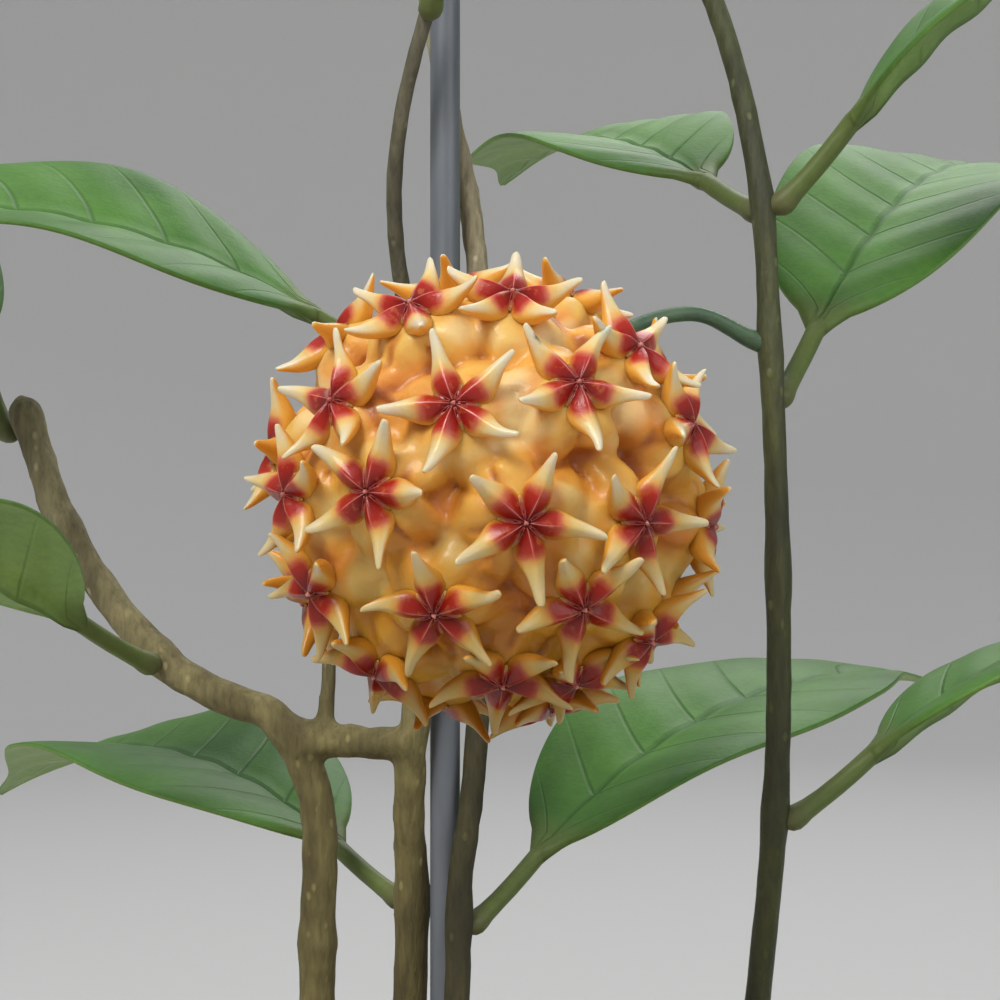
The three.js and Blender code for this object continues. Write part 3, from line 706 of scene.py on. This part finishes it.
end = UMBEL + (ENTRY - UMBEL).normalized() * (KNOB_RADIUS + CLEARANCE)
leaving = way(176, 24)
root = root_on(young_path, STALK_AT, YOUNG_RADII, leaving, 1.0)
stalk_points = [root, (32, -20.6, 222.5), ENTRY, (18.5, -30, 216.5), end]
stalk_path = [root - leaving * 1.9, root - leaving * 1.0, *even(through(stalk_points), 60)]
bm = bmesh.new()
tube(bm, stalk_path, lambda t: STALK_RADIUS + 0.3 * math.exp(-((t / 0.09) ** 2)), sides=14, knobble=0.08)
shown(bm, "flower_stalk", stalk_skin, "peduncle", "peduncle")

# Umbel: a ball of waxy flowers that face outwards, each on a pedicel. A flower has a corolla of five thick
# orange lobes bent right back into a bulb. On it lies the corona, a star of five keeled rays that are
# crimson in the middle and cream at their blunt upturned tips.
PARTS = 5
# how far it is from the middle of the ball to that of a star, and from there to the tip of a ray, down to
# the foot of the corolla and out to the middle of a lobe
FACE_RADIUS, RAY_REACH, COROLLA_DEPTH, LOBE_OUT = 25.6, 8, 10.6, 6.1
RAY_BEND, LOBE_LUMPS = 0.9, 0.6
WAX_VOXEL = 0.5
# the ball's middle in the picture, how far the camera is from it, and the pixels to a slope of one
VIEW_MIDDLE, VIEW_DISTANCE, PIXELS_PER_TANGENT = (490, 495), 260, 2321
# place of the star's middle in the picture, angle of one ray, how far it stands out, over the far edge
SEEN = [
    (410, 304, 167, 0.6, False), (513, 288, 83, 0, False), (640, 345, 125, 0.4, False),
    (328, 398, 80, 0, False), (452, 400, 183, -0.4, False), (580, 380, 203, 0, False),
    (695, 423, 84, 0.4, False), (266, 449, 79, 0, True), (283, 494, 156, 0.3, False),
    (364, 492, -3, 0, False), (526, 523, -6, 0.4, False), (651, 524, 73, -0.3, False),
    (721, 528, 80, 0, False), (306, 596, -41, 0, False), (434, 616, 170, 0.3, False),
    (586, 612, 194, 0, False), (651, 641, 50, 0.6, False), (689, 637, 45, -0.8, False),
    (372, 680, -35, 0, False), (503, 690, 188, 0, False), (580, 693, 0, -0.5, False),
    (554, 718, 250, 0, True), (437, 710, 200, 0, True),
]  # fmt: skip
HIDDEN = 15
SCARRED = 5


def facing(x, y, far):
    """The way that a flower faces whose star's middle is seen at a place in the picture."""
    sight = Vector(((x - VIEW_MIDDLE[0]) / PIXELS_PER_TANGENT, 1, (VIEW_MIDDLE[1] - y) / PIXELS_PER_TANGENT))
    a = sight.length_squared
    inside = max(0, VIEW_DISTANCE**2 - a * (VIEW_DISTANCE**2 - FACE_RADIUS**2))
    depth = (VIEW_DISTANCE + (1 if far else -1) * math.sqrt(inside)) / a
    return (sight * depth - Vector((0, VIEW_DISTANCE, 0))).normalized()


def hidden_facings(seen):
    """The rest of the ball: flowers that push each other, the ones seen and the stalk apart."""
    golden = math.pi * (3 - math.sqrt(5))
    stalk = (ENTRY - UMBEL).normalized()
    hidden = []
    for i in range(HIDDEN):
        y = (2 * i + 0.5) / (2 * HIDDEN)
        r = math.sqrt(1 - y * y)
        hidden.append(Vector((r * math.cos(2 * i * golden), y, r * math.sin(2 * i * golden))))
    for _ in range(400):
        moved = []
        for i, own in enumerate(hidden):
            push = Vector((0, 0, 0))
            for other in [*seen, stalk, *hidden[:i], *hidden[i + 1 :]]:
                away = own - other
                push += away / max(away.length_squared, 1e-6) ** 2
            moved.append((own + push * 0.004).normalized())
        hidden = moved
    return hidden


seen = [facing(x, y, far) for x, y, _, _, far in SEEN]
blooms = [(face, ray, stand) for face, (_, _, ray, stand, _) in zip(seen, SEEN)]
blooms += [(face, 29 * i, 0.4 * math.sin(2 * i)) for i, face in enumerate(hidden_facings(seen))]


def star_frame(face, ray, stand):
    """Where a flower sits, turned so that one ray points along an angle in the picture."""
    c, s = math.cos(math.radians(ray)), math.sin(math.radians(ray))
    along = Vector((c, -(c * face.x + s * face.z) / face.y, s)).normalized()
    turned = Matrix((along, face.cross(along), face)).transposed().to_4x4()
    return Matrix.Translation(UMBEL + face * (FACE_RADIUS + stand)) @ turned


# Each station of a ray: its distance out, and the height of its crest, half its width, the height of its
# rim, how far its foot spreads compared with the rim, and the height of its underside.
RAY = [
    (0.05, -0.30, 0.05, -0.55, 1.00, -3.0),
    (0.8, -0.06, 0.58, -0.75, 1.10, -3.2),
    (1.6, 0.18, 1.12, -0.95, 1.20, -3.3),
    (2.4, 0.30, 1.50, -1.10, 1.25, -3.4),
    (3.2, 0.30, 1.56, -1.10, 1.28, -3.3),
    (4.2, 0.22, 1.30, -0.88, 1.24, -3.0),
    (5.2, 0.22, 0.98, -0.56, 1.12, -2.3),
    (6.2, 0.38, 0.76, -0.20, 0.96, -1.4),
    (7.1, 0.66, 0.60, 0.12, 0.82, -0.6),
    (7.75, 0.84, 0.47, 0.40, 0.76, 0.0),
    (8.05, 0.86, 0.27, 0.62, 0.70, 0.34),
]


def ray_section(out, crest, half, side, spread, under):
    flank = side + (crest - side) * (0.4 + 0.36 * out / RAY_REACH)
    foot = side + (under - side) * 0.5
    outline = [
        (0, crest), (0.5 * half, flank), (half, side), (spread * half, foot),
        (0, under), (-spread * half, foot), (-half, side), (-0.5 * half, flank),
    ]  # fmt: skip
    return [Vector((out, y, z)) for y, z in outline]


bm = bmesh.new()
reach = bm.verts.layers.float.new("reach")
crest = bm.verts.layers.float.new("crest")
drop = bm.verts.layers.float.new("drop")
crease = bm.edges.layers.float.new("crease_edge")
rings = swept(bm, [ray_section(*station) for station in RAY])
for ring, (out, *_) in zip(rings, RAY):
    for j, v in enumerate(ring):
        v[reach] = out / RAY_REACH
        v[crest] = 1.0 if j == 0 else 0.0
        v[drop] = (0, 0, 0.25, 0.7, 1, 0.7, 0.25, 0)[j]
for near, far, (out, *_) in zip(rings, rings[1:], RAY):
    bm.edges.get((near[0], far[0]))[crease] = max(0, 0.95 - out / 6)
bmesh.ops.spin(
    bm,
    geom=bm.verts[:] + bm.edges[:] + bm.faces[:],
    axis=(0, 0, 1),
    angle=math.tau * (PARTS - 1) / PARTS,
    steps=PARTS - 1,
    use_duplicate=True,
)
star_mesh = modified(bm, "SUBSURF", levels=1, render_levels=1)

COROLLA_PROFILE = [
    (0.5, -1.2), (1.7, -1.4), (2.9, -1.7), (4.0, -2.1), (5.1, -2.7), (6.1, -3.6), (6.9, -4.8), (7.5, -6.2),
    (7.6, -7.6), (7.1, -9.0), (6.0, -10.1), (4.7, -10.8), (3.3, -11.1), (1.6, -10.9), (0.5, -COROLLA_DEPTH),
]  # fmt: skip
# seen from above, each lobe is round: LOBE_OFF is how far its middle lies from the axis and LOBE_ROUND its
# radius, as shares of the whole
LOBE_OFF, LOBE_ROUND = 0.55, 0.45
bm = bmesh.new()
spun(bm, COROLLA_PROFILE, 60)
closed(bm)
for v in bm.verts:
    turn = math.atan2(v.co.y, v.co.x)
    off = (turn / math.tau * PARTS % 1 - 0.5) * math.tau / PARTS
    lobed = LOBE_OFF * math.cos(off) + math.sqrt(LOBE_ROUND**2 - (LOBE_OFF * math.sin(off)) ** 2)
    lobed = 1 + (lobed - 1) * smoothstep(-v.co.z, 1.2, 4.5)
    v.co.x *= lobed
    v.co.y *= lobed
corolla_mesh = mesh_of(bm, "corolla")

# a knob with five corners in the middle of the star, on a saucer, and between each two rays a low web with
# a pair of fine rails on it, which part and meet again
KNOB_HEIGHT, SAUCER_HEIGHT = -0.32, -0.82
RAIL_BOW, RAIL_RADIUS = 0.15, 0.1
bm = bmesh.new()
seat = Matrix.Translation((0, 0, KNOB_HEIGHT))
knob = bmesh.ops.create_cone(
    bm, cap_ends=True, segments=2 * PARTS, radius1=0.5, radius2=0.22, depth=0.6, matrix=seat
)["verts"]
for v in knob:
    if round(math.atan2(v.co.y, v.co.x) / math.tau * 2 * PARTS) % 2 == 0:
        v.co.x *= 0.5
        v.co.y *= 0.5
seat = Matrix.Translation((0, 0, SAUCER_HEIGHT)) @ Matrix.Diagonal((1.1, 1.1, 0.34, 1))
bmesh.ops.create_uvsphere(bm, u_segments=10, v_segments=5, radius=1, matrix=seat)
seat = Matrix.Translation((1.85, 0, -1.08)) @ Matrix.Rotation(math.radians(16), 4, "Y")
for i in range(PARTS):
    web = bmesh.ops.create_uvsphere(bm, u_segments=8, v_segments=4, radius=1)["verts"]
    turn = Matrix.Rotation(math.tau * (i + 0.5) / PARTS, 4, "Z")
    bmesh.ops.transform(bm, matrix=turn @ seat @ Matrix.Diagonal((1.0, 0.42, 0.22, 1)), verts=web)
for i in range(2 * PARTS):
    bow = RAIL_BOW if i % 2 else -RAIL_BOW
    rail = []
    for t in (0, 0.25, 0.5, 0.75, 1):
        side = bow * (0.45 + math.sin(math.pi * t) * 0.9)
        rail.append(Vector((0.5 + 2.1 * t, side, KNOB_HEIGHT - 0.8 * t**0.8)))
    turn = Matrix.Rotation(math.tau * (i // 2 + 0.5) / PARTS, 3, "Z")
    tube(bm, [turn @ point for point in rail], lambda t: RAIL_RADIUS * (1 - 0.3 * t), sides=4)
reach = bm.verts.layers.float.new("reach")
for v in bm.verts:
    v[reach] = v.co.xy.length / RAY_REACH
rail_mesh = mesh_of(bm, "rails")


def own_shade(number):
    """How light a flower or a lobe is by itself, from 0 to 1."""
    return noise.noise(Vector((number * 1.37, 4.2, 0))) * 0.5 + 0.5


def clustered(mesh, bend, lumps=0.0):
    """Sets a copy of one flower's mesh on every pedicel, each bent and dented a little in its own way."""
    bm = bmesh.new()
    tone = bm.verts.layers.float.new("tone")
    for i, (face, ray, stand) in enumerate(blooms):
        start = len(bm.verts)
        bm.from_mesh(mesh)
        bm.verts.ensure_lookup_table()
        fresh = bm.verts[start:]
        for v in fresh:
            slow = noise.noise_vector(v.co * 0.22 + Vector((i * 3.1, 0, 0)))
            quick = noise.noise_vector(v.co * 0.6 + Vector((0, i * 5.3, 0)))
            v.co += slow * bend * (v.co.xy.length / RAY_REACH) ** 2 + quick * lumps
            v[tone] = own_shade(i)
        bmesh.ops.transform(bm, matrix=star_frame(face, ray, stand), verts=fresh)
    return bm


def waxy(name, roughness):
    """The flowers' wax: light soaks in a little way and comes out redder, under a faint gloss."""
    material, tree, shader = finish_named(
        name,
        Roughness=roughness,
        Specular_IOR_Level=0.27,
        Subsurface_Weight=0.4,
        Subsurface_Scale=0.002,
        Coat_Weight=0.14,
        Coat_Roughness=0.1,
    )
    shader.inputs["Subsurface Radius"].default_value = (1.0, 0.45, 0.18)
    return material, tree, shader


def total(tree, *terms):
    """The sum of terms, each a socket and its weight."""
    result = 0
    for socket, weight in terms:
        result = calc(tree, "ADD", result, calc(tree, "MULTIPLY", socket, weight))
    return result


# the height at which the painted shade on the flowers is deepest, and the span above it in which it fades, in
# metres
BALL_SHADE_LOW, BALL_SHADE_SPAN = 0.17, 0.04
star_wax, tree, shader = waxy("star_wax", 0.3)
place = object_place(tree)
grain = speckle(tree, place, 520, 5, 0.6)
way_out = total(tree, (mark(tree, "reach"), 1.0), (grain, 0.12), (mark(tree, "tone"), 0.06))
tint = ramp(
    tree,
    way_out,
    (0.12, 0.12, 0.003, 0.003),
    (0.3, 0.29, 0.01, 0.005),
    (0.46, 0.40, 0.022, 0.011),
    (0.53, 0.55, 0.13, 0.07),
    (0.60, 0.71, 0.39, 0.12),
    (0.70, 0.71, 0.55, 0.24),
    (0.95, 0.70, 0.63, 0.46),
)
below = amount(tree, total(tree, (mark(tree, "drop"), 1.0), (grain, 0.3)), (0.3, 0), (0.62, 1))
tint = blended(tree, below, tint, (0.74, 0.38, 0.06, 1))
near_middle = amount(tree, mark(tree, "reach"), (0.3, 1), (0.5, 0))
flecks = amount(tree, speckle(tree, place, 850, 3), (0.58, 0), (0.7, 0.45))
tint = blended(tree, blended(tree, 1.0, flecks, near_middle, "MULTIPLY"), tint, (0.62, 0.2, 0.07, 1))
# a pinkish line painted along each ray's crest near the middle: a painted highlight
crest_highlight = amount(tree, mark(tree, "crest"), (0.86, 0), (0.98, 0.6))
crest_highlight = blended(tree, 1.0, crest_highlight, near_middle, "MULTIPLY")
tint = blended(tree, crest_highlight, tint, (0.75, 0.3, 0.3, 1))
# a blackish scar near the tip of one ray
scar = star_frame(seen[SCARRED], 131, 0) @ Vector((6.2, 0.2, 0.4)) * MM
from_scar = wired(tree, "ShaderNodeVectorMath", {0: place, 1: scar}, operation="DISTANCE").outputs["Value"]
from_scar = total(tree, (from_scar, 1000), (speckle(tree, place, 1500), 1.2))
scarred = amount(tree, calc(tree, "DIVIDE", from_scar, 2), (0.45, 1), (0.8, 0))
tint = blended(tree, scarred, tint, (0.035, 0.03, 0.015, 1))
# painted shade: the stars darken towards the underside of the ball
tint = shaded_downwards(tree, tint, BALL_SHADE_LOW, BALL_SHADE_SPAN, (0, 0.44, 0.32, 0.1), (0.42, 0.76, 0.67, 0.42))
coloured(tree, shader, tint)
bumped(tree, shader, speckle(tree, place, 1900, 4), 0.06)
shown(clustered(star_mesh, RAY_BEND), "coronas", star_wax, "flower", "umbel")

rail_wax, tree, shader = waxy("rail_wax", 0.22)
way_out = total(tree, (mark(tree, "reach"), 1.0), (speckle(tree, object_place(tree), 700), 0.16))
tint = ramp(
    tree,
    way_out,
    (0.08, 0.6, 0.2, 0.17),
    (0.16, 0.36, 0.035, 0.035),
    (0.32, 0.42, 0.06, 0.035),
    (0.44, 0.72, 0.33, 0.1),
)
coloured(tree, shader, tint)
shown(clustered(rail_mesh, RAY_BEND), "guide_rails", rail_wax, "flower", "umbel")

lobe_wax, tree, shader = waxy("lobe_wax", 0.4)
place = object_place(tree)
# painted light and shade: the lobes are lightest high on each flower and darken down it and into the creases
# between lobes; the cloudy pattern and each lobe's own tone are their real colour
depth = total(
    tree,
    (mark(tree, "drop"), 0.7),
    (mark(tree, "crease"), 0.2),
    (speckle(tree, place, 160), 0.4),
    (mark(tree, "tone"), 0.15),
)
tint = ramp(
    tree,
    depth,
    (0.15, 0.77, 0.51, 0.135),
    (0.4, 0.75, 0.375, 0.068),
    (0.75, 0.62, 0.23, 0.03),
    (1.0, 0.4, 0.115, 0.016),
)
flushed = amount(tree, speckle(tree, place, 105, 3), (0.5, 0), (0.7, 0.65))
tint = blended(tree, flushed, tint, (0.62, 0.18, 0.045, 1))
# a pale cream patch painted on the raised crowns of some lobes: a painted highlight
crown_highlight = amount(tree, mark(tree, "crown"), (0.15, 0), (0.85, 0.7))
tint = blended(tree, crown_highlight, tint, (0.78, 0.62, 0.31, 1))
# painted shade, dark red-brown, in the creases where two lobes meet
crease_shade = amount(tree, mark(tree, "crease"), (0.35, 0), (1, 0.75))
tint = blended(tree, crease_shade, tint, (0.33, 0.08, 0.02, 1))
# painted shade: the corollas darken towards the underside of the ball
tint = shaded_downwards(tree, tint, BALL_SHADE_LOW, BALL_SHADE_SPAN, (0, 0.4, 0.28, 0.03), (0.42, 0.72, 0.62, 0.27))
coloured(tree, shader, tint)
bumped(tree, shader, speckle(tree, place, 1500, 4), 0.08)

# the corollas touch and look grown together, with a crease here and there where two lobes meet and a raised
# crown on some of them. The lobe wax paints shade into the creases and down each flower, and a highlight on
# the crowns
CREASE_DEPTH, CROWN_RISE = 0.4, 0.2
lobes = kdtree.KDTree(PARTS * len(blooms))
for i, bloom in enumerate(blooms):
    for k in range(PARTS):
        turn = math.tau * (k + 0.5) / PARTS
        middle = Vector((LOBE_OUT * math.cos(turn), LOBE_OUT * math.sin(turn), -5))
        lobes.insert(star_frame(*bloom) @ middle, PARTS * i + k)
lobes.balance()
bm = fused(clustered(corolla_mesh, RAY_BEND, LOBE_LUMPS), WAX_VOXEL, rounds=3)
bm.normal_update()
tone, drop, crease, crown = [bm.verts.layers.float.new(name) for name in ("tone", "drop", "crease", "crown")]
for v in bm.verts:
    (_, lobe, near), (_, _, far) = lobes.find_n(v.co, 2)
    face, _, stand = blooms[lobe // PARTS]
    patchy = noise.noise(v.co * 0.16 + Vector((7, 0, 0)))
    v[tone] = own_shade(lobe)
    v[drop] = smoothstep(FACE_RADIUS + stand - (v.co - UMBEL).dot(face), 2.5, 11)
    v[crease] = 1.4 * (1 - smoothstep(far - near, 0, 0.9)) * smoothstep(patchy, -0.25, 0.35)
    v[crown] = (1 - smoothstep(near, 1.5, 4)) * smoothstep(-patchy, -0.1, 0.4)
for layer in (tone, crease, crease):
    eased = []
    for v in bm.verts:
        around = sum(e.other_vert(v)[layer] for e in v.link_edges)
        eased.append((v[layer] + around) / (1 + len(v.link_edges)))
    for v, value in zip(bm.verts, eased):
        v[layer] = value
for v in bm.verts:
    v.co -= v.normal * (CREASE_DEPTH * v[crease] - CROWN_RISE * v[crown])
shown(bm, "corollas", lobe_wax, "flower", "umbel")

# the pedicels spring from a knob that the stalk ends in, and widen where they meet the corollas
PEDICEL_RADIUS, KNOB_SKIN = 0.55, 3.4
pedicel_skin, tree, shader = finish_named(
    "pedicel_skin", Roughness=0.5, Subsurface_Weight=0.2, Subsurface_Scale=0.001
)
tint = ramp(tree, speckle(tree, object_place(tree), 200), (0.3, 0.4, 0.3, 0.09), (0.7, 0.55, 0.3, 0.12))
coloured(tree, shader, tint)
bm = bmesh.new()
for face, _, stand in blooms:
    reach_out = FACE_RADIUS + stand - COROLLA_DEPTH
    path = [UMBEL + face * (reach_out * t / 6) for t in range(7)]
    tube(bm, path, lambda t: PEDICEL_RADIUS + 0.5 * max(0, t - 0.8) ** 2 * 25, sides=8)
bmesh.ops.create_icosphere(bm, subdivisions=3, radius=KNOB_SKIN, matrix=Matrix.Translation(UMBEL))
shown(bm, "pedicels", pedicel_skin, "flower", "umbel")

# Stage: a pale floor whose edge curves up into a pale wall all round, soft lights, and the camera at the
# photograph's height and distance, level with the umbel.
FLOOR_RADIUS, BEND_RADIUS, WALL_TOP = 1.5, 0.7, 2.6

pale = finish_named("pale_floor", Roughness=0.9, Base_Color=(0.56, 0.56, 0.55, 1))[0]
cove = [(0.001, 0), (FLOOR_RADIUS, 0)]
for i in range(1, 11):
    a = math.radians(9 * i)
    cove.append((FLOOR_RADIUS + BEND_RADIUS * math.sin(a), BEND_RADIUS - BEND_RADIUS * math.cos(a)))
cove.append((FLOOR_RADIUS + BEND_RADIUS, WALL_TOP))
bm = bmesh.new()
spun(bm, cove, 64)
floor = in_scene("floor", mesh_of(bm, "floor"))
floor.data.shade_smooth()
floor.data.materials.append(pale)

sky = bpy.data.worlds.new("studio")
sky.use_nodes = True
glow = sky.node_tree.nodes["Background"]
glow.inputs["Color"].default_value = (0.93, 0.95, 1, 1)
glow.inputs["Strength"].default_value = 0.6
bpy.context.scene.world = sky


def softbox(name, spot, aim, size, power, colour):
    lamp = bpy.data.lights.new(name, "AREA")
    lamp.size, lamp.energy, lamp.color = size, power, colour
    light = in_scene(name, lamp)
    light.location = spot
    light.rotation_euler = (Vector(aim) - Vector(spot)).to_track_quat("-Z", "Y").to_euler()


softbox("key", (-0.5, -0.75, 1.2), (0, -0.03, 0.2), 0.55, 15.5, (1, 0.98, 0.95))
softbox("fill", (1.25, -1.1, 1.0), (0, -0.03, 0.2), 1.1, 8, (0.95, 0.97, 1))
softbox("back", (0.3, 1.0, 1.2), (0, 0, 0.2), 0.8, 6, (1, 1, 1))

lens = bpy.data.cameras.new("camera")
lens.lens, lens.sensor_width = 83.5, 36
lens.shift_x, lens.shift_y = 0.010, -0.005
lens.clip_start, lens.clip_end = 0.01, 20
camera = in_scene("camera", lens)
camera.location = (UMBEL + Vector((0, -VIEW_DISTANCE, 0))) * MM
camera.rotation_euler = (math.radians(90), 0, 0)
bpy.context.scene.camera = camera
bpy.context.scene.view_settings.view_transform = "Standard"
